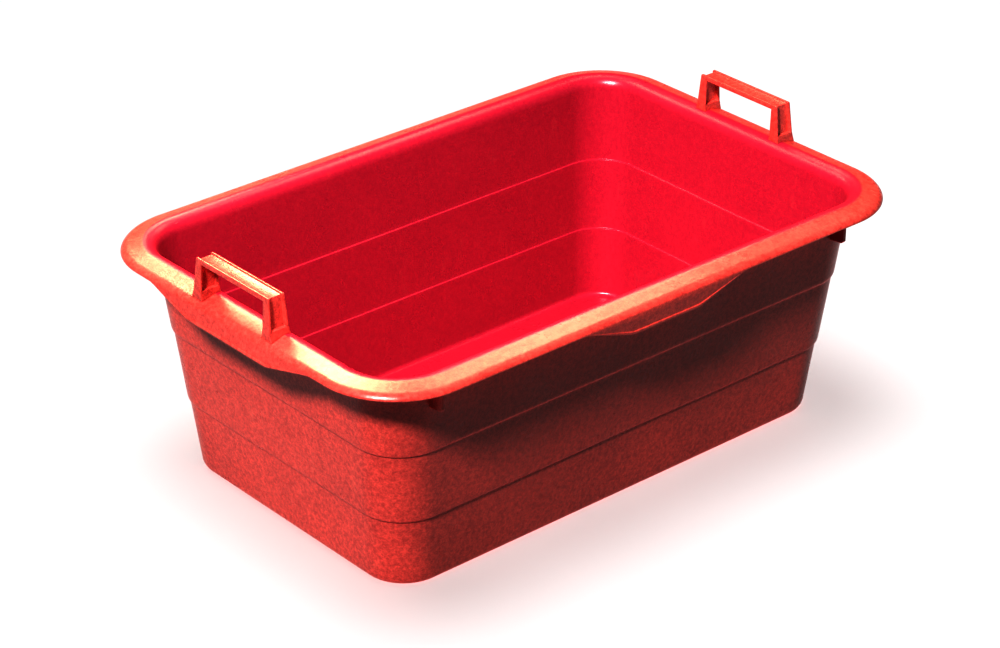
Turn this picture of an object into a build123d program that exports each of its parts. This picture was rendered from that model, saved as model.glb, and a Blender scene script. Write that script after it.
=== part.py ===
from build123d import *
from math import atan, cos, radians, sin, sqrt, tan
import os

# A rectangular mortar mixing tub with a rolled rim and two upright handle frames.
# Frame: +X along the tub's length, +Z up, origin under the middle of the base. Millimetres.

# ---- driving dimensions ----
base_half_length = 329.0
base_half_width = 197.0
base_corner_radius = 52.0
base_edge_radius = 10.0
draft = 0.10                  # outward lean of every wall, per millimetre of height
wall = 3.8
floor_thickness = 4.2
ledge_heights = (90.0, 180.0)
ledge_step = 2.2              # each ledge widens the tub by this much on every side
ledge_offset_inside = 3.0     # the ledge inside sits this much above the one outside

rim_height = 288.6
rim_corner_radius = 60.0
rim_root = 274.2              # height where the rolled rim begins
rim_roll = 16.5               # radius of the roll from the inner face into the flat band
band_fall = 13.5              # outward slope of the band, in degrees
band_thickness = 3.5
band_edge = 29.0              # from the wall's outer face to the end of the band's flat top
band_edge_top = 285.16
lip_reach = 37.7              # from the wall's outer face to the lip's outer edge
lip_bottom = 277.2
lip_shoulder = (34.9, 282.3)  # on the outside of the curve from the band down into the lip
lip_hollow = (32.0, 280.3)    # on the inside of that curve
under_edge = (27.5, 281.9)    # where the band's flat underside ends
bead = 1.3                    # stiffening bead along the bottom edge of each apron
bead_height = 1.8

end_apron_drop = 17.2
end_apron_lean = 3.0
end_apron_flat = 72.0
end_apron_taper = 142.0
side_apron_drop = 23.2
side_apron_lean = -3.0
side_apron_flat = 50.0
side_apron_taper = 118.0
apron_root = 4.0              # how far an apron reaches up into the lip
apron_shoulder = 2.6          # slope of its top corner, kept inside the lip's curve
apron_tip = 0.5               # depth left at the ends of the taper
over = 10.0                   # how far a cutting shape runs past what it cuts

rib_x = 302.0
rib_thickness = 4.5
rib_reach_y = 246.0
rib_bottom = 242.0
rib_top = 285.0
rib_foot_slope = 3.0          # chamfer at the rib's lower outer corner
rib_top_depth = 6.0
rib_drop = 2.0                # the rib's foot sits this much lower at the wall

handle_top = 334.5
handle_half_top = 64.8
handle_half_foot = 70.0
window_half = 55.7
window_flare = 2.5            # the window narrows by this much at its foot
grip_height = 6.0
handle_corner = 1.8
flange = 2.6
web = 3.2
grip_groove = 1.6
handle_inner_top = 369.0
handle_inner_foot = 367.3
handle_outer_top = 391.0
handle_outer_foot = 394.0
collar_top = 296.0
collar_half = 72.5

plug_x = (370.5, 391.5)
plug_y = (57.5, 68.5)
plug_bottom = 261.0
socket_bottom = 266.0
socket_wall = 3.0
socket_top = 284.2
running_gap = 0.3
barb = 1.5
barb_inset = 1.0
seat_gap = 0.1
seat_steps = 5                # flats that follow the rim's roll under the handle
prong_slot = 3.6

# ---- sizes that follow from them ----
tier_widening = len(ledge_heights) * ledge_step
top_half_length = base_half_length + draft * rim_height + tier_widening
top_half_width = base_half_width + draft * rim_height + tier_widening
root_in = draft * (rim_height - rim_root)
corner_growth = (rim_corner_radius - root_in - base_corner_radius - tier_widening) / rim_root
wall_lean = atan(draft)
fall = radians(band_fall)
roll_centre = (
    -wall - root_in + rim_roll * cos(wall_lean),
    rim_root - rim_roll * sin(wall_lean),
)
roll_end = (roll_centre[0] + rim_roll * sin(fall), roll_centre[1] + rim_roll * cos(fall))


def roll_point(radius, angle):
    """A point around the roll's centre: angle 0 is straight up, positive outwards."""
    return roll_centre[0] + radius * sin(angle), roll_centre[1] + radius * cos(angle)


def band_top(x):
    """Height of the rim's top face over the short ends, at distance x from the middle."""
    across = x - top_half_length
    if across < roll_end[0]:
        return roll_centre[1] + sqrt(rim_roll**2 - (across - roll_centre[0]) ** 2)
    return roll_end[1] - tan(fall) * (across - roll_end[0])


def wall_outline(height, tier, inset):
    """Length, width and corner radius of the wall on the given tier, moved in by inset."""
    grow = draft * height + tier * ledge_step - inset
    radius = base_corner_radius + corner_growth * height + tier * ledge_step - inset
    return 2 * (base_half_length + grow), 2 * (base_half_width + grow), radius


def stacked_tiers(bottom, ledges, inset, edge_radius):
    """The tub's outline as a solid: one drafted tier between each pair of ledges."""
    levels = (bottom, *ledges, rim_root)
    with BuildPart() as block:
        for tier, span in enumerate(zip(levels, levels[1:])):
            for height in span:
                with BuildSketch(Plane.XY.offset(height)):
                    RectangleRounded(*wall_outline(height, tier, inset))
            loft(ruled=True)
        fillet(block.edges().group_by(Axis.Z)[0], edge_radius)
    return block.part


def hanging_apron(half_reach, drop, lean, flat_half, taper_half):
    """A plate that hangs from the lip at +X, full depth in the middle and tapering out."""
    lip_edge = half_reach + lip_reach
    low = lip_bottom - drop
    with BuildPart() as apron:
        with BuildSketch(Plane.XZ):
            Polygon(
                (lip_edge - apron_shoulder, lip_bottom + apron_root - 1.0),
                (lip_edge, lip_bottom),
                (lip_edge + lean, low + bead_height + bead),
                (lip_edge + lean + bead, low + bead_height),
                (lip_edge + lean + bead, low),
                (lip_edge + lean - band_thickness, low),
                (lip_edge - band_thickness, lip_bottom),
                align=None,
            )
        extrude(amount=taper_half, both=True)
        with BuildSketch(Plane.YZ):
            Polygon(
                (-taper_half, lip_bottom + apron_root),
                (taper_half, lip_bottom + apron_root),
                (taper_half, lip_bottom - apron_tip),
                (flat_half, low),
                (-flat_half, low),
                (-taper_half, lip_bottom - apron_tip),
                align=None,
            )
        extrude(amount=lip_edge + over, mode=Mode.INTERSECT)
    return apron.part


def socket_pair(gap, low, high):
    """Two upright blocks where the handle legs stand, at +X, grown by gap all round."""
    middle_x = sum(plug_x) / 2
    middle_y = sum(plug_y) / 2
    with BuildPart() as blocks:
        with BuildSketch(Plane.XY.offset(low)):
            with Locations((middle_x, middle_y), (middle_x, -middle_y)):
                Rectangle(plug_x[1] - plug_x[0] + 2 * gap, plug_y[1] - plug_y[0] + 2 * gap)
        extrude(amount=high - low)
    return blocks.part


# ---- tub shell ----
outside = stacked_tiers(0.0, ledge_heights, 0.0, base_edge_radius)
inside_ledges = [height + ledge_offset_inside for height in ledge_heights]
inside = stacked_tiers(floor_thickness, inside_ledges, wall, base_edge_radius - wall)
end_apron = hanging_apron(
    top_half_length, end_apron_drop, end_apron_lean, end_apron_flat, end_apron_taper
)
side_apron = hanging_apron(
    top_half_width, side_apron_drop, side_apron_lean, side_apron_flat, side_apron_taper
)
sockets = socket_pair(running_gap + socket_wall, socket_bottom, socket_top)
socket_holes = socket_pair(running_gap, socket_bottom - over, rim_height + over)

inner_root = (-wall - root_in, rim_root)
outer_root = (-root_in, rim_root)
lip_inside = lip_reach - band_thickness
roll_inside = rim_roll - band_thickness
roll_middle = -radians(40)
under_roll = roll_point(roll_inside, fall)
with BuildPart() as rim:
    with BuildLine() as rim_loop:
        FilletPolyline(
            (top_half_length, 0),
            (top_half_length, top_half_width),
            (-top_half_length, top_half_width),
            (-top_half_length, 0),
            radius=rim_corner_radius,
        )
    with BuildSketch(Plane.XZ.move(Location((top_half_length, 0, 0)))):
        with BuildLine():
            ThreePointArc(inner_root, roll_point(rim_roll, roll_middle), roll_end)
            Line(roll_end, (band_edge, band_edge_top))
            ThreePointArc((band_edge, band_edge_top), lip_shoulder, (lip_reach, lip_bottom))
            Line((lip_reach, lip_bottom), (lip_inside, lip_bottom))
            ThreePointArc((lip_inside, lip_bottom), lip_hollow, under_edge)
            Line(under_edge, under_roll)
            ThreePointArc(under_roll, roll_point(roll_inside, roll_middle), outer_root)
            Line(outer_root, inner_root)
        make_face()
    sweep(path=rim_loop.wires()[0])
    mirror(about=Plane.XZ)

with BuildPart() as tub_shell:
    add(outside)
    add(rim.part)
    for turn in (0, 180):
        add(end_apron, rotation=(0, 0, turn))
        add(sockets, rotation=(0, 0, turn))
        add(side_apron, rotation=(0, 0, turn + 90))
    rib_root = top_half_width - draft * (rim_height - rib_bottom) - wall / 2
    with BuildSketch(*[Plane.YZ.offset(side * rib_x - rib_thickness / 2) for side in (-1, 1)]):
        for side in (-1, 1):
            Polygon(
                (side * rib_root, rib_bottom - rib_drop),
                (side * (rib_reach_y - rib_foot_slope), rib_bottom),
                (side * rib_reach_y, rib_bottom + rib_foot_slope),
                (side * rib_reach_y, rib_top),
                (side * (rib_root + rib_top_depth), rib_top),
                align=None,
            )
    extrude(amount=rib_thickness)
    add(inside, mode=Mode.SUBTRACT)
    for turn in (0, 180):
        add(socket_holes, rotation=(0, 0, turn), mode=Mode.SUBTRACT)
tub_shell.part.label = "tub_shell"


# ---- handles: an I-section arch on two snap-in legs ----
def inner_face(height):
    """Distance of the handle's inner face from the tub's middle."""
    share = (handle_top - height) / (handle_top - rim_height)
    return handle_inner_top + share * (handle_inner_foot - handle_inner_top)


def outer_face(height):
    """Distance of the handle's outer face from the tub's middle."""
    share = (handle_top - height) / (handle_top - rim_height)
    return handle_outer_top + share * (handle_outer_foot - handle_outer_top)


def between_faces(foot_line, inset):
    """The space between the handle's two faces, each moved in by inset, above a foot line."""
    with BuildPart() as space:
        with BuildSketch(Plane.XZ):
            Polygon(
                *foot_line,
                (outer_face(handle_top) - inset, handle_top),
                (inner_face(handle_top) + inset, handle_top),
                align=None,
            )
        extrude(amount=collar_half + over, both=True)
    return space.part


def arch(outer_half, top, window, window_top, corner):
    """An upright arch of two legs and a grip, as a thick plate across the handle's depth.

    outer_half and window are each the half width at the foot and at the top.
    """
    with BuildPart() as plate:
        with BuildSketch(Plane.YZ) as outline:
            Polygon(
                (-outer_half[0], arch_foot),
                (-outer_half[1], top),
                (outer_half[1], top),
                (outer_half[0], arch_foot),
                align=None,
            )
            Polygon(
                (-window[0], arch_foot),
                (-window[1], window_top),
                (window[1], window_top),
                (window[0], arch_foot),
                align=None,
                mode=Mode.SUBTRACT,
            )
            if corner:
                for row in (-1, -2):
                    fillet(outline.vertices().group_by(Axis.Y)[row], corner)
        extrude(amount=handle_outer_foot + over)
    return plate.part


arch_foot = band_top(handle_outer_foot) - 1.0
window_top = handle_top - grip_height
web_middle_foot = (handle_half_foot + window_half) / 2
web_middle_top = (handle_half_top + window_half) / 2
arch_body = arch(
    (handle_half_foot, handle_half_top),
    handle_top,
    (window_half, window_half),
    window_top,
    handle_corner,
)
arch_web = arch(
    (web_middle_foot + web / 2, web_middle_top + web / 2),
    handle_top - grip_groove,
    (web_middle_foot - web / 2, web_middle_top - web / 2),
    window_top,
    0.0,
)
roll_x = top_half_length + roll_end[0]
seat_x = [
    handle_inner_foot + (roll_x - handle_inner_foot) * step / seat_steps
    for step in range(seat_steps + 1)
]
seat_line = [(x, band_top(x) + seat_gap) for x in (*seat_x, handle_outer_foot)]
pocket_line = [
    (inner_face(collar_top) + flange, collar_top),
    (outer_face(collar_top) - flange, collar_top),
]
collar_outer = handle_half_foot - (handle_half_foot - handle_half_top) * (
    (collar_top - arch_foot) / (handle_top - arch_foot)
)
middle_y = sum(plug_y) / 2
middle_x = sum(plug_x) / 2

with BuildPart() as pockets:
    add(between_faces(pocket_line, flange))
    add(arch_web, mode=Mode.SUBTRACT)

with BuildPart() as handle_form:
    add(arch_body)
    with BuildSketch(Plane.YZ):
        for side in (-1, 1):
            Polygon(
                (side * collar_half, arch_foot),
                (side * collar_outer, collar_top),
                (side * window_half, collar_top),
                (side * (window_half - window_flare), arch_foot),
                align=None,
            )
    extrude(amount=handle_outer_foot + over)
    add(between_faces(seat_line, 0.0), mode=Mode.INTERSECT)
    add(pockets.part, mode=Mode.SUBTRACT)
    add(socket_pair(0.0, plug_bottom, band_top(middle_x) + 3.0))
    for side in (-1, 1):
        with BuildSketch(Plane.YZ.offset(plug_x[0] + barb_inset)):
            for edge, out in ((plug_y[0], -1), (plug_y[1], 1)):
                Polygon(
                    (side * edge, socket_bottom - running_gap),
                    (side * (edge + out * barb), socket_bottom - running_gap),
                    (side * edge, plug_bottom),
                    align=None,
                )
        extrude(amount=plug_x[1] - plug_x[0] - 2 * barb_inset)
        with Locations((middle_x, side * middle_y, plug_bottom)):
            Box(
                plug_x[1] - plug_x[0] + 2.0,
                prong_slot,
                2 * (lip_bottom - plug_bottom),
                mode=Mode.SUBTRACT,
            )

os.makedirs("parts", exist_ok=True)
export_step(tub_shell.part, "parts/tub_shell.step")
for name, turn in (("handle_right_end", 0), ("handle_left_end", 180)):
    with BuildPart() as handle:
        add(handle_form.part, rotation=(0, 0, turn))
    handle.part.label = name
    export_step(handle.part, f"parts/{name}.step")
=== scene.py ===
import math

import bmesh
import bpy
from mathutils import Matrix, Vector, noise


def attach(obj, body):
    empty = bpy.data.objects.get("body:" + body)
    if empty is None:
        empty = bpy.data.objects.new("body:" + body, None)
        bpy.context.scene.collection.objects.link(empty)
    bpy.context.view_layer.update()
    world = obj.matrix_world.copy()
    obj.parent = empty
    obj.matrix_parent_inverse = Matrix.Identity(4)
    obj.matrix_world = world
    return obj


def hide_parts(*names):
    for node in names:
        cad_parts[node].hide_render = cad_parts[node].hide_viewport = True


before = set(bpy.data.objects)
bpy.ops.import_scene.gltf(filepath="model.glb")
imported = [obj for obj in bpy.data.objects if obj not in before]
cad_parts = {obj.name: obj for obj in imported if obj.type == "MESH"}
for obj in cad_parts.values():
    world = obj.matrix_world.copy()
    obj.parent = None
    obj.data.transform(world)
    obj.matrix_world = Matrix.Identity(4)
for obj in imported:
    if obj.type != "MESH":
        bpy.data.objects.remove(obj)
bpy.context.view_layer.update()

MM = 0.001

# ---- the tub's sizes, in millimetres, as in the CAD model ----
BASE_HALF = (329.0, 197.0)
BASE_RADIUS = 52.0
BASE_EDGE = 10.0
DRAFT = 0.10
WALL = 3.8
FLOOR = 4.2
LEDGES = (90.0, 180.0)
LEDGE_STEP = 2.2
LEDGE_INSIDE = 3.0            # the inside ledges are this much higher
RIM_HEIGHT = 288.6
RIM_ROOT = 274.2
RIM_RADIUS = 60.0
RIM_ROLL = 16.5
BAND_FALL = math.radians(13.5)
BAND = 3.5
BAND_EDGE = (29.0, 285.16)
BAND_TURN = (34.9, 282.3)     # a point on the curve from the band down into the lip
UNDER_TURN = (32.0, 280.5)    # the same under the band
UNDER_EDGE = (27.5, 281.9)
LIP_REACH = 37.7
LIP_BOTTOM = 277.2
KNEE = 280.0                  # the lip turns straight down from here
LIP_EDGE = 0.9                # rounding of the lip's lower edges

END_APRON = {"drop": 17.2, "lean": 3.0, "flat": 72.0, "taper": 142.0}
SIDE_APRON = {"drop": 23.2, "lean": -3.0, "flat": 50.0, "taper": 118.0}
BEAD = 1.3

RIB_X = 302.0
RIB_THICK = 4.5
RIB_REACH = 246.0
RIB_BOTTOM = 242.0
RIB_TOP = 285.0
RIB_CHAMFER = 3.0

PLUG_X = (370.5, 391.5)
PLUG_Y = (57.5, 68.5)
SOCKET_BOTTOM = 266.0
SOCKET_WALL = 3.0
SOCKET_TOP = 284.2
GAP = 0.3                     # clearance between a handle leg and its hole
PAST = 10.0                   # how far the cutting blocks reach past the holes

# ---- softer edges than the CAD model's, in millimetres ----
OUTSIDE_STEP_ROUND = 5.5
INSIDE_STEP_ROUND = 1.0
STEP_FOOT = 0.6
STEP_HEAD = 1.4
RIB_ROUND = 0.7
SOCKET_ROUND = 0.8
HOLE_ROUND = 0.4
HANDLE_ROUND = 0.9

# ---- sizes that follow ----
STEPS = len(LEDGES) * LEDGE_STEP
TOP_GROW = DRAFT * RIM_HEIGHT + STEPS
TOP_HALF = tuple(half + TOP_GROW for half in BASE_HALF)
ROOT_IN = DRAFT * (RIM_HEIGHT - RIM_ROOT)
WALL_LEAN = math.atan(DRAFT)
ROLL_CENTRE = (-WALL - ROOT_IN + RIM_ROLL * math.cos(WALL_LEAN),
               RIM_ROOT - RIM_ROLL * math.sin(WALL_LEAN))
RADIUS_GROWTH = (RIM_RADIUS - ROOT_IN - BASE_RADIUS - STEPS) / RIM_ROOT

# ---- mesh resolution ----
CORNER_CUTS = 20
BASE_CUTS = 8
TIER_CUTS = 7
TOP_CUTS = 8
STEP_ROW = 6.0                # a row of points this far below and above each ledge
END_STATIONS = (-1.0, -0.92, -0.84, -0.80, -0.74, -0.66, -0.58, -0.50, -0.45, -0.425, -0.40, -0.34,
                -0.27, -0.18, -0.09)
SIDE_STATIONS = (-1.0, -0.94, -0.88, -0.82, -0.76, -0.70, -0.64, -0.58, -0.52, -0.46, -0.41, -0.385,
                 -0.35, -0.30, -0.25, -0.20, -0.175, -0.155, -0.13, -0.09, -0.045)
APRON_BLUR = (-4.0, -2.0, 0.0, 2.0, 4.0)

# ---- the unevenness of the moulded walls, in millimetres ----
WAVE_REACH = 0.9
WAVE_SCALE = 0.008
WAVE_RANGE = (12.0, 262.0)
WAVE_FADE = 40.0


def mirrored(stations):
    """The stations of half a side and their mirror images, from one end to the other."""
    return stations + (0.0,) + tuple(-s for s in reversed(stations))


# ================= small curve helpers =================
def arc(start, middle, end, count):
    """Points on the circle through three points, start and end included."""
    (ax, ay), (bx, by), (cx, cy) = start, middle, end
    d = 2 * (ax * (by - cy) + bx * (cy - ay) + cx * (ay - by))
    aa, bb, cc = ax * ax + ay * ay, bx * bx + by * by, cx * cx + cy * cy
    ox = (aa * (by - cy) + bb * (cy - ay) + cc * (ay - by)) / d
    oy = (aa * (cx - bx) + bb * (ax - cx) + cc * (bx - ax)) / d
    radius = math.hypot(ax - ox, ay - oy)
    first = math.atan2(ay - oy, ax - ox)
    turn = math.atan2(cy - oy, cx - ox) - first
    via = (math.atan2(by - oy, bx - ox) - first) % (2 * math.pi)
    turn %= 2 * math.pi
    if via > turn:
        turn -= 2 * math.pi
    angles = [first + turn * i / count for i in range(count + 1)]
    return [(ox + radius * math.cos(a), oy + radius * math.sin(a)) for a in angles]


def line(start, end, count):
    """Points from start to end, both included."""
    steps = [i / count for i in range(count + 1)]
    return [tuple(a + (b - a) * t for a, b in zip(start, end)) for t in steps]


def soft_corner(before, corner, after, radius, reach=None, count=4):
    """A rounding in place of a corner, from radius before it to reach (or radius) after it."""
    b, c, a = Vector(before), Vector(corner), Vector(after)
    start = c + (b - c).normalized() * radius
    end = c + (a - c).normalized() * (reach or radius)
    ts = [i / count for i in range(count + 1)]
    curve = [start * (1 - t) ** 2 + c * 2 * t * (1 - t) + end * t * t for t in ts]
    return [tuple(p) for p in curve]


# ================= the tub shell =================
# The profile is a list of (grow, height, apron) where grow is the distance outwards from the
# base outline, and apron says how far the point follows the hanging aprons, from 0 to 1. A minus
# sign there adds the bead that runs along an apron's lower edge.
def wall_profile(bottom, ledges, inset, edge, step_round):
    """One face of the wall from the floor up to the rim's root, with rounded ledges."""
    start = DRAFT * bottom - inset
    centre = start - edge * math.tan((math.pi / 2 - WALL_LEAN) / 2)
    swing = [i / BASE_CUTS * (math.pi / 2 - WALL_LEAN) for i in range(BASE_CUTS + 1)]
    points = [(centre + edge * math.sin(a), bottom + edge * (1 - math.cos(a))) for a in swing]
    for tier, height in enumerate(ledges):
        below = (DRAFT * height + tier * LEDGE_STEP - inset, height)
        above = (below[0] + LEDGE_STEP, height)
        foot = points[-1]
        points += line(foot, (below[0] - DRAFT * STEP_ROW, height - STEP_ROW), TIER_CUTS)[1:]
        points += soft_corner(foot, below, above, STEP_FOOT)
        up = (above[0] + DRAFT * STEP_ROW, height + STEP_ROW)
        points += soft_corner(below, above, up, STEP_HEAD, step_round)
        points.append(up)
    top = (DRAFT * RIM_ROOT + STEPS - inset, RIM_ROOT)
    points += line(points[-1], top, TOP_CUTS)[1:]
    return points


def roll_point(radius, angle):
    """A point around the rim roll's centre: angle 0 is straight up, positive outwards."""
    return (ROLL_CENTRE[0] + radius * math.sin(angle), ROLL_CENTRE[1] + radius * math.cos(angle))


def rim_profile():
    """The rolled rim from the wall's inner face, over the band and lip, to its outer face."""
    g = TOP_GROW
    middle = -math.radians(40)
    roll_end = roll_point(RIM_ROLL, BAND_FALL)
    top = arc((-WALL - ROOT_IN, RIM_ROOT), roll_point(RIM_ROLL, middle), roll_end, 14)
    top += line(roll_end, BAND_EDGE, 5)[1:]
    top += arc(BAND_EDGE, BAND_TURN, (LIP_REACH - 0.4, KNEE - 0.6), 7)[1:]
    points = [(g + x, z, 0.0) for x, z in top]
    outer = [(LIP_REACH, KNEE - 1.6, 0.0), (LIP_REACH, LIP_BOTTOM + 1.0, 0.35),
             (LIP_REACH, LIP_BOTTOM + 0.95, 0.70), (LIP_REACH, LIP_BOTTOM + 0.9, 0.85)]
    points += [(g + x, z, a) for x, z, a in outer]
    points += [(g + LIP_REACH, LIP_BOTTOM + 0.85, -0.905)]
    points += [(g + x, z, -1.0) for x, z in arc(
        (LIP_REACH, LIP_BOTTOM + 0.8), (LIP_REACH - 0.25, LIP_BOTTOM + 0.2),
        (LIP_REACH - LIP_EDGE, LIP_BOTTOM), 4)]
    inner = LIP_REACH - BAND
    points += [(g + inner + LIP_EDGE, LIP_BOTTOM, 1.0), (g + inner, LIP_BOTTOM + 0.8, 1.0),
               (g + inner, LIP_BOTTOM + 0.9, 0.7), (g + inner, LIP_BOTTOM + 1.0, 0.35),
               (g + inner - 0.2, LIP_BOTTOM + 1.6, 0.0)]
    under = arc((inner - 0.2, LIP_BOTTOM + 1.6), UNDER_TURN, UNDER_EDGE, 5)[1:]
    roll_inside = RIM_ROLL - BAND
    under_roll = roll_point(roll_inside, BAND_FALL)
    under += line(UNDER_EDGE, under_roll, 4)[1:]
    under += arc(under_roll, roll_point(roll_inside, middle), (-ROOT_IN, RIM_ROOT), 9)[1:]
    points += [(g + x, z, 0.0) for x, z in under]
    return points


def apron_share(along, apron):
    """How much of the apron hangs at this distance from the side's middle, from 0 to 1."""
    total = 0.0
    for shift in APRON_BLUR:
        share = (apron["taper"] - abs(along + shift)) / (apron["taper"] - apron["flat"])
        total += min(1.0, max(0.0, share))
    return total / len(APRON_BLUR)


def ring(grow, height, follow):
    """One closed outline of the shell at this place of the profile."""
    if height <= RIM_ROOT and follow == 0.0 and grow <= TOP_GROW:
        radius = BASE_RADIUS + RADIUS_GROWTH * height + grow - DRAFT * height
    else:
        radius = RIM_RADIUS + grow - TOP_GROW
    half = [side + grow for side in BASE_HALF]
    straight = [side - radius for side in half]
    stations = (mirrored(END_STATIONS), mirrored(SIDE_STATIONS))
    aprons = (END_APRON, SIDE_APRON)
    points = []
    for quarter in range(4):
        kind = quarter % 2
        heading = quarter * math.pi / 2
        out = Vector((math.cos(heading), math.sin(heading)))
        along = Vector((-out.y, out.x))
        apron = aprons[kind]
        for place in stations[kind][:-1]:
            distance = place * straight[1 - kind]
            share = apron_share(distance, apron) if follow else 0.0
            amount = abs(follow)
            push = apron["lean"] * share * amount + (BEAD * share if follow < 0 else 0.0)
            spot = out * (half[kind] + push) + along * distance
            points.append((spot.x, spot.y, height - apron["drop"] * share * amount))
        centre = out * straight[kind] + along * straight[1 - kind]
        for cut in range(CORNER_CUTS):
            angle = heading + cut / CORNER_CUTS * math.pi / 2
            points.append((
                centre.x + radius * math.cos(angle),
                centre.y + radius * math.sin(angle),
                height,
            ))
    return points


def wavy(point):
    """Moves a point in or out by the slight unevenness of a large moulded wall."""
    x, y, z = point
    low, high = WAVE_RANGE
    rise = min(1.0, max(0.0, (z - low) / WAVE_FADE))
    fall = min(1.0, max(0.0, (high - z) / WAVE_FADE))
    sway = noise.noise(Vector((x, y, z)) * WAVE_SCALE) * WAVE_REACH * (rise * fall)
    length = math.hypot(x, y)
    return (x + x / length * sway, y + y / length * sway, z)


def cap_rows(outline):
    """A grid of points across a flat outline, from its four sides, by a Coons patch."""
    half = CORNER_CUTS // 2
    per_end = 2 * len(END_STATIONS) + CORNER_CUTS
    per_side = 2 * len(SIDE_STATIONS) + CORNER_CUTS
    total = len(outline)
    first = total - half
    pick = [outline[(first + i) % total] for i in range(total)]
    right = [pick[i] for i in range(per_end + 1)]
    back = [pick[per_end + i] for i in range(per_side + 1)]
    left = [pick[per_end + per_side + i] for i in range(per_end + 1)]
    front = [pick[(2 * per_end + per_side + i) % total] for i in range(per_side + 1)]
    back.reverse()
    left.reverse()
    rows = []
    for j in range(per_end + 1):
        v = j / per_end
        row = []
        for i in range(per_side + 1):
            u = i / per_side
            sides = [(1 - v) * f + v * b + (1 - u) * le + u * r
                     for f, b, le, r in zip(front[i], back[i], left[j], right[j])]
            corners = [(1 - u) * (1 - v) * p + u * (1 - v) * q + (1 - u) * v * s + u * v * t
                       for p, q, s, t in zip(front[0], front[-1], back[0], back[-1])]
            row.append(tuple(a - b for a, b in zip(sides, corners)))
        rows.append(row)
    return rows


def add_cap(mesh, outline, ring_verts, flip):
    """Fills the outline's flat inside with quads that share the outline's vertices."""
    known = {tuple(round(c, 4) for c in p): v for p, v in zip(outline, ring_verts)}
    grid = []
    for row in cap_rows(outline):
        verts = []
        for p in row:
            key = tuple(round(c, 4) for c in p)
            if key not in known:
                known[key] = mesh.verts.new([c * MM for c in p])
            verts.append(known[key])
        grid.append(verts)
    for low, high in zip(grid, grid[1:]):
        for i in range(len(low) - 1):
            quad = [low[i], low[i + 1], high[i + 1], high[i]]
            if flip:
                quad.reverse()
            mesh.faces.new(quad)


def shell_mesh():
    """The whole shell as one closed surface of quads, before its ribs and sockets."""
    outside = wall_profile(0.0, LEDGES, 0.0, BASE_EDGE, OUTSIDE_STEP_ROUND)
    outside = [(g, z, 0.0) for g, z in outside]
    ledges = [h + LEDGE_INSIDE for h in LEDGES]
    inside = wall_profile(FLOOR, ledges, WALL, BASE_EDGE - WALL, INSIDE_STEP_ROUND)
    inside = [(g, z, 0.0) for g, z in inside]
    profile = inside[:-1] + rim_profile()[:-1] + outside[::-1]
    mesh = bmesh.new()
    outlines = [[wavy(p) for p in ring(*spot)] for spot in profile]
    rings = [[mesh.verts.new([c * MM for c in p]) for p in outline] for outline in outlines]
    for low, high in zip(rings, rings[1:]):
        count = len(low)
        for i in range(count):
            j = (i + 1) % count
            mesh.faces.new((low[i], low[j], high[j], high[i]))
    add_cap(mesh, outlines[0], rings[0], flip=False)
    add_cap(mesh, outlines[-1], rings[-1], flip=True)
    bmesh.ops.recalc_face_normals(mesh, faces=mesh.faces)
    return mesh


def to_object(name, mesh):
    """Turns a bmesh into a named object in the scene."""
    data = bpy.data.meshes.new(name)
    mesh.to_mesh(data)
    mesh.free()
    piece = bpy.data.objects.new(name, data)
    bpy.context.scene.collection.objects.link(piece)
    return piece


def prism(outline, direction, length):
    """A closed prism: a flat outline of 3-D points pushed along direction."""
    mesh = bmesh.new()
    near = [mesh.verts.new([c * MM for c in p]) for p in outline]
    push = Vector(direction) * length
    far = [mesh.verts.new([(c + d) * MM for c, d in zip(p, push)]) for p in outline]
    mesh.faces.new(near)
    mesh.faces.new(far[::-1])
    for i in range(len(near)):
        j = (i + 1) % len(near)
        mesh.faces.new((near[j], near[i], far[i], far[j]))
    bmesh.ops.recalc_face_normals(mesh, faces=mesh.faces)
    return mesh


def rounded_prism(outline, direction, length, radius):
    """The same prism with all its edges rounded."""
    mesh = prism(outline, direction, length)
    bmesh.ops.bevel(mesh, geom=mesh.edges[:], offset=radius * MM, segments=3, profile=0.5,
                    affect="EDGES", clamp_overlap=True)
    return mesh


def rib(side_x, side_y):
    """One upright stacking rib under the rim, on a long wall."""
    root = TOP_HALF[1] - DRAFT * (RIM_HEIGHT - RIB_BOTTOM) - WALL / 2
    x = side_x * RIB_X - RIB_THICK / 2
    outline = [(root, RIB_BOTTOM - 2.0), (RIB_REACH - RIB_CHAMFER, RIB_BOTTOM),
               (RIB_REACH, RIB_BOTTOM + RIB_CHAMFER), (RIB_REACH, RIB_TOP), (root + 6.0, RIB_TOP)]
    corners = [(x, side_y * y, z) for y, z in outline]
    return rounded_prism(corners, (1, 0, 0), RIB_THICK, RIB_ROUND)


def upright_block(x_range, y_range, z_range, radius):
    """A rounded box."""
    corners = [(x, y, z_range[0]) for x, y in (
        (x_range[0], y_range[0]), (x_range[1], y_range[0]),
        (x_range[1], y_range[1]), (x_range[0], y_range[1]))]
    return rounded_prism(corners, (0, 0, 1), z_range[1] - z_range[0], radius)


def socket(side_x, side_y, grow, low, high, radius):
    """The block around one handle leg, grown by grow on every side."""
    xs = sorted(side_x * x for x in (PLUG_X[0] - grow, PLUG_X[1] + grow))
    ys = sorted(side_y * y for y in (PLUG_Y[0] - grow, PLUG_Y[1] + grow))
    return upright_block(xs, ys, (low, high), radius)


def combine(target, tools, operation):
    """Joins tools to target, or cuts them away, and leaves one clean mesh."""
    for tool in tools:
        step = target.modifiers.new("combine", "BOOLEAN")
        step.operation = operation
        step.solver = "EXACT"
        step.object = tool
    graph = bpy.context.evaluated_depsgraph_get()
    data = bpy.data.meshes.new_from_object(target.evaluated_get(graph))
    target.modifiers.clear()
    target.data = data
    for tool in tools:
        bpy.data.objects.remove(tool)


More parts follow.
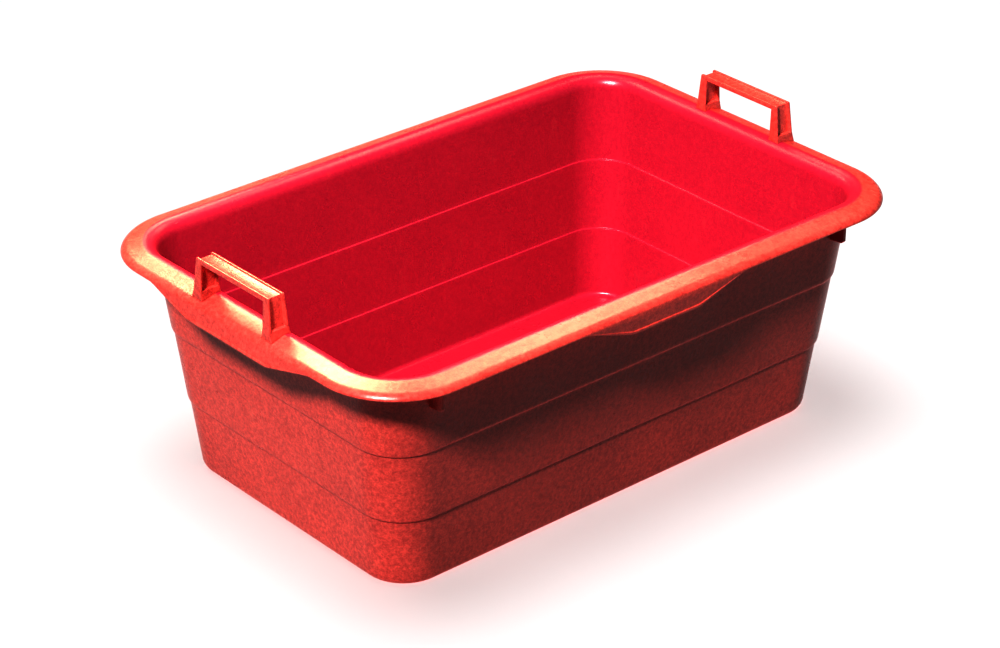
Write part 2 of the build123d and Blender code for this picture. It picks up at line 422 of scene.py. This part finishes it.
def finish_surface(piece, angle):
    """Smooth shading, with a crease only where the surface turns sharply."""
    piece.data.shade_smooth()
    piece.data.set_sharp_from_angle(angle=math.radians(angle))


ENDS = (-1, 1)
CORNERS = [(x, y) for x in ENDS for y in ENDS]


def make_tub():
    """The shell with its ribs and handle sockets."""
    tub = to_object("tub_body", shell_mesh())
    ribs = [to_object("rib", rib(x, y)) for x, y in CORNERS]
    blocks = [socket(x, y, GAP + SOCKET_WALL, SOCKET_BOTTOM, SOCKET_TOP, SOCKET_ROUND)
              for x, y in CORNERS]
    combine(tub, ribs + [to_object("block", b) for b in blocks], "UNION")
    holes = [socket(x, y, GAP, SOCKET_BOTTOM - PAST, RIM_HEIGHT + PAST, HOLE_ROUND)
             for x, y in CORNERS]
    combine(tub, [to_object("hole", h) for h in holes], "DIFFERENCE")
    finish_surface(tub, 35)
    return tub


# ================= the handles =================
def make_handle(node):
    """A copy of the CAD handle with its flat faces whole and every edge rounded."""
    mesh = bmesh.new()
    mesh.from_mesh(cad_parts[node].data)
    bmesh.ops.remove_doubles(mesh, verts=mesh.verts, dist=0.00001)
    bmesh.ops.dissolve_limit(mesh, angle_limit=math.radians(1.0), verts=mesh.verts,
                             edges=mesh.edges)
    sharp = [e for e in mesh.edges if e.is_manifold and e.calc_face_angle() > math.radians(15)]
    bmesh.ops.bevel(mesh, geom=sharp, offset=HANDLE_ROUND * MM, segments=3, profile=0.5,
                    affect="EDGES", clamp_overlap=True)
    piece = to_object(node + "_moulding", mesh)
    finish_surface(piece, 40)
    return piece


# ================= materials =================
# The inside's deeper, more saturated red and the outside's paler one are painted light. They are
# lit and shaded copies of one red, and the deeper inside stands in for the red glow bounced round
# inside the tub. The moulding has one pigment throughout.
INSIDE_PAINTED_DEEP_RED = ((0.35, 0.020, 0.060, 1.0), (0.43, 0.034, 0.078, 1.0))
OUTER = ((0.37, 0.052, 0.049, 1.0), (0.80, 0.155, 0.130, 1.0))
CHALKY = (0.80, 0.26, 0.20, 1.0)
TUB_GRAIN = 1500.0
HANDLE_GRAIN = 1700.0
MIX_INPUTS = (0, 6, 7)        # the Mix node's factor and its two colours
MIX_OUTPUT = 2


class Nodes:
    """Short names for building a material's node tree."""

    def __init__(self, name):
        self.material = bpy.data.materials.new(name)
        self.material.use_nodes = True
        self.tree = self.material.node_tree
        self.shader = self.tree.nodes["Principled BSDF"]
        coordinates = self.tree.nodes.new("ShaderNodeTexCoord")
        self.place = coordinates.outputs["Object"]
        self.normal = coordinates.outputs["Normal"]

    def node(self, kind, inputs=None, **settings):
        """A node with its settings, its inputs set or linked."""
        made = self.tree.nodes.new(kind)
        for key, value in settings.items():
            setattr(made, key, value)
        for key, value in (inputs or {}).items():
            if isinstance(value, bpy.types.NodeSocket):
                self.tree.links.new(value, made.inputs[key])
            else:
                made.inputs[key].default_value = value
        return made

    def noise(self, scale, detail=4.0, rough=0.55, stretch=(1, 1, 1)):
        """A noise value over the object's own coordinates."""
        at = self.node("ShaderNodeMapping", {"Vector": self.place, "Scale": stretch})
        inputs = {"Vector": at.outputs[0], "Scale": scale, "Detail": detail, "Roughness": rough}
        return self.node("ShaderNodeTexNoise", inputs).outputs["Fac"]

    def fit(self, value, low, high, to_low, to_high):
        """Maps a value from one range to another, and holds it there."""
        inputs = {"Value": value, "From Min": low, "From Max": high, "To Min": to_low,
                  "To Max": to_high}
        return self.node("ShaderNodeMapRange", inputs, clamp=True).outputs[0]

    def math(self, operation, a, b):
        """One arithmetic step."""
        return self.node("ShaderNodeMath", {0: a, 1: b}, operation=operation).outputs[0]

    def mix(self, share, a, b):
        """A colour between two colours."""
        made = self.tree.nodes.new("ShaderNodeMix")
        made.data_type = "RGBA"
        for index, value in zip(MIX_INPUTS, (share, a, b)):
            if isinstance(value, bpy.types.NodeSocket):
                self.tree.links.new(value, made.inputs[index])
            else:
                made.inputs[index].default_value = value
        return made.outputs[MIX_OUTPUT]


def outward(m):
    """1 on faces turned down or away from the tub's middle, 0 on those turned towards it: where the
    painted deeper inside red gives way to the outside red, and how much the scuffs show.
    """
    spread = m.node("ShaderNodeVectorMath", {0: m.place, 1: (2.5, 2.5, 0.0)},
                    operation="MULTIPLY").outputs["Vector"]
    facing = m.node("ShaderNodeVectorMath", {0: spread, 1: m.normal},
                    operation="DOT_PRODUCT").outputs["Value"]
    height = m.node("ShaderNodeSeparateXYZ", {0: m.normal}).outputs["Z"]
    beneath = m.fit(height, -0.6, -0.1, 1.0, 0.0)
    return m.math("MAXIMUM", m.fit(facing, 0.02, 0.16, 0.0, 1.0), beneath)


def moulded_plastic(name, inner, outer, grain):
    """Red moulded plastic: uneven pigment, mould grain, and chalky scuffs on the outside.

    inner and outer are each a deep and a bright shade; a deeper inner pair paints the red glow
    bounced round inside the tub into the colour.
    """
    m = Nodes(name)
    outside = outward(m)
    cloud = m.noise(7.0, 5.0, 0.6)
    blotch = m.noise(190.0, 3.0, 0.75)
    speck = m.noise(520.0, 2.0, 0.7)
    pigment = m.math("ADD", m.fit(cloud, 0.3, 0.7, 0.0, 0.25), m.fit(blotch, 0.36, 0.64, 0.0, 0.50))
    pigment = m.math("ADD", pigment, m.fit(speck, 0.35, 0.65, 0.0, 0.25))
    # Painted light: the inside mix, a deeper red, stands in for the red glow bounced round inside
    # the tub; the outside mix is the paler red.
    colour = m.mix(outside, m.mix(pigment, *inner), m.mix(pigment, *outer))
    scuff = m.fit(m.noise(60.0, 6.0, 0.75, (1.0, 1.0, 0.25)), 0.60, 0.74, 0.0, 1.0)
    scuff = m.math("MULTIPLY", scuff, m.fit(outside, 0.0, 1.0, 0.10, 0.40))
    worn = m.mix(scuff, colour, CHALKY)
    m.tree.links.new(worn, m.shader.inputs["Base Color"])
    sheen_patch = m.fit(m.noise(13.0, 4.0, 0.6), 0.3, 0.7, 0.25, 0.33)
    rough = m.math("ADD", sheen_patch, m.math("MULTIPLY", scuff, 0.30))
    m.tree.links.new(rough, m.shader.inputs["Roughness"])
    fine = m.noise(grain, 3.0, 0.6)
    coarse = m.noise(grain * 0.2, 4.0, 0.6)
    height = m.math("ADD", m.math("MULTIPLY", fine, 0.5), m.math("MULTIPLY", coarse, 0.8))
    height = m.math("SUBTRACT", height, m.math("MULTIPLY", scuff, 0.5))
    bump = m.node("ShaderNodeBump", {"Height": height, "Strength": 0.30, "Distance": 0.0006})
    m.tree.links.new(bump.outputs[0], m.shader.inputs["Normal"])
    m.shader.inputs["IOR"].default_value = 1.5
    return m.material


def studio_floor():
    """A pale, slightly uneven matt floor."""
    m = Nodes("studio_floor")
    shade = m.mix(m.noise(2.0, 3.0), (0.60, 0.60, 0.60, 1.0), (0.64, 0.64, 0.64, 1.0))
    m.tree.links.new(shade, m.shader.inputs["Base Color"])
    m.shader.inputs["Roughness"].default_value = 0.9
    return m.material


# ================= stage, light and camera =================
FLOOR_DROP = 0.0003           # keeps the floor clear of the tub's flat underside
WHITE = (1.0, 1.0, 1.0)
DAYLIGHT = (1.0, 0.97, 0.93)
WARM = (1.0, 0.80, 0.50)
REDDISH = (1.0, 0.50, 0.50)   # chosen to match the red ledge lines in the photo
CONTRAST = 0.52               # a display gamma below 1 gives the scan's deep shadows

CAMERA_TURN = 40.75           # degrees round the tub
CAMERA_LIFT = 28.12           # degrees above it
CAMERA_DISTANCE = 3.55
CAMERA_TARGET = (-0.0158, -0.0038, 0.1494)
LENS = 109.6
SENSOR = 36.0


def make_floor():
    """A wide floor under the tub."""
    mesh = bmesh.new()
    bmesh.ops.create_grid(mesh, x_segments=8, y_segments=8, size=30.0)
    floor = to_object("floor", mesh)
    floor.location.z = -FLOOR_DROP
    floor.data.materials.append(studio_floor())
    return floor


def sun(name, towards, strength, softness, colour):
    """A distant soft light, from the direction given."""
    data = bpy.data.lights.new(name, "SUN")
    data.energy = strength
    data.angle = math.radians(softness)
    data.color = colour
    lamp = bpy.data.objects.new(name, data)
    lamp.rotation_euler = Vector(towards).to_track_quat("Z", "Y").to_euler()
    bpy.context.scene.collection.objects.link(lamp)
    return lamp


def softbox(name, place, target, size, power, colour, spread=180.0):
    """A rectangular studio light at place, aimed at target, that spreads by so many degrees."""
    data = bpy.data.lights.new(name, "AREA")
    data.shape = "RECTANGLE"
    data.size, data.size_y = size
    data.spread = math.radians(spread)
    data.energy = power
    data.color = colour
    lamp = bpy.data.objects.new(name, data)
    lamp.location = place
    away = Vector(place) - Vector(target)
    lamp.rotation_euler = away.to_track_quat("Z", "Y").to_euler()
    lamp.visible_camera = False
    bpy.context.scene.collection.objects.link(lamp)
    return lamp


def light_only(lamp, pieces):
    """Keeps a lamp's light off everything but these pieces."""
    lit = bpy.data.collections.new(lamp.name + "_lights")
    for piece in pieces:
        lit.objects.link(piece)
    lamp.light_linking.receiver_collection = lit


def make_world(strength):
    """Even, weak light from all round."""
    world = bpy.data.worlds.new("studio")
    bpy.context.scene.world = world
    world.use_nodes = True
    background = world.node_tree.nodes["Background"]
    background.inputs["Color"].default_value = (1.0, 0.98, 0.96, 1.0)
    background.inputs["Strength"].default_value = strength


def make_camera():
    """A long lens at the photo's viewing angle."""
    turn, lift = math.radians(CAMERA_TURN), math.radians(CAMERA_LIFT)
    data = bpy.data.cameras.new("camera")
    data.sensor_width = SENSOR
    data.lens = LENS
    data.clip_end = 60.0
    camera = bpy.data.objects.new("camera", data)
    look = Vector((math.sin(turn) * math.cos(lift), math.cos(turn) * math.cos(lift),
                   -math.sin(lift)))
    camera.location = Vector(CAMERA_TARGET) - look * CAMERA_DISTANCE
    camera.rotation_euler = look.to_track_quat("-Z", "Y").to_euler()
    bpy.context.scene.collection.objects.link(camera)
    bpy.context.scene.camera = camera


make_camera()
floor = make_floor()
make_world(0.095)
bpy.context.scene.view_settings.view_transform = "Standard"
bpy.context.scene.view_settings.gamma = CONTRAST

tub_plastic = moulded_plastic("tub_plastic", INSIDE_PAINTED_DEEP_RED, OUTER, TUB_GRAIN)
handle_plastic = moulded_plastic("handle_plastic", OUTER, OUTER, HANDLE_GRAIN)

tub = make_tub()
tub.data.materials.clear()
tub.data.materials.append(tub_plastic)
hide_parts("tub_shell")
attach(tub, "root")

pieces = [tub]
for node in ("handle_left_end", "handle_right_end"):
    handle = make_handle(node)
    pieces.append(handle)
    handle.data.materials.clear()
    handle.data.materials.append(handle_plastic)
    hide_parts(node)
    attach(handle, "root")

# Separate lamps light the tub and the floor, and the floor sends no light to the tub: from_below,
# which casts no shadow, stands in for it and picks out the undersides of the ledges.
key = sun("key", (-0.60, -0.28, 0.75), 7.2, 9.0, DAYLIGHT)
rim_light = softbox("rim_light", (-0.03, 0.68, 1.20), (-0.37, -0.1, 0.29), (0.5, 0.9), 7.6,
                    WARM, spread=85.0)
front_light = softbox("front_light", (0.53, 0.30, 1.08), (-0.16, -0.24, 0.29), (0.5, 0.5), 2.3,
                      WARM, spread=85.0)
inside_light = softbox("inside_light", (-0.22, -0.14, 0.80), (-0.12, 0.22, 0.15), (0.5, 0.2), 3.5,
                       DAYLIGHT)
inside_light.visible_glossy = False
from_below = sun("from_below", (0.09, 0.09, -1.0), 4.4, 10.0, REDDISH)
from_below.data.use_shadow = False
from_below.visible_glossy = False
floor.visible_diffuse = False
overhead = sun("overhead", (-0.08, 0.07, 1.0), 1.5, 30.0, WHITE)
floor_fill = sun("floor_fill", (0.0, 0.0, 1.0), 3.5, 10.0, WHITE)
floor_fill.data.use_shadow = False
for lamp in (key, rim_light, front_light, inside_light, from_below):
    light_only(lamp, pieces)
for lamp in (overhead, floor_fill):
    light_only(lamp, [floor])
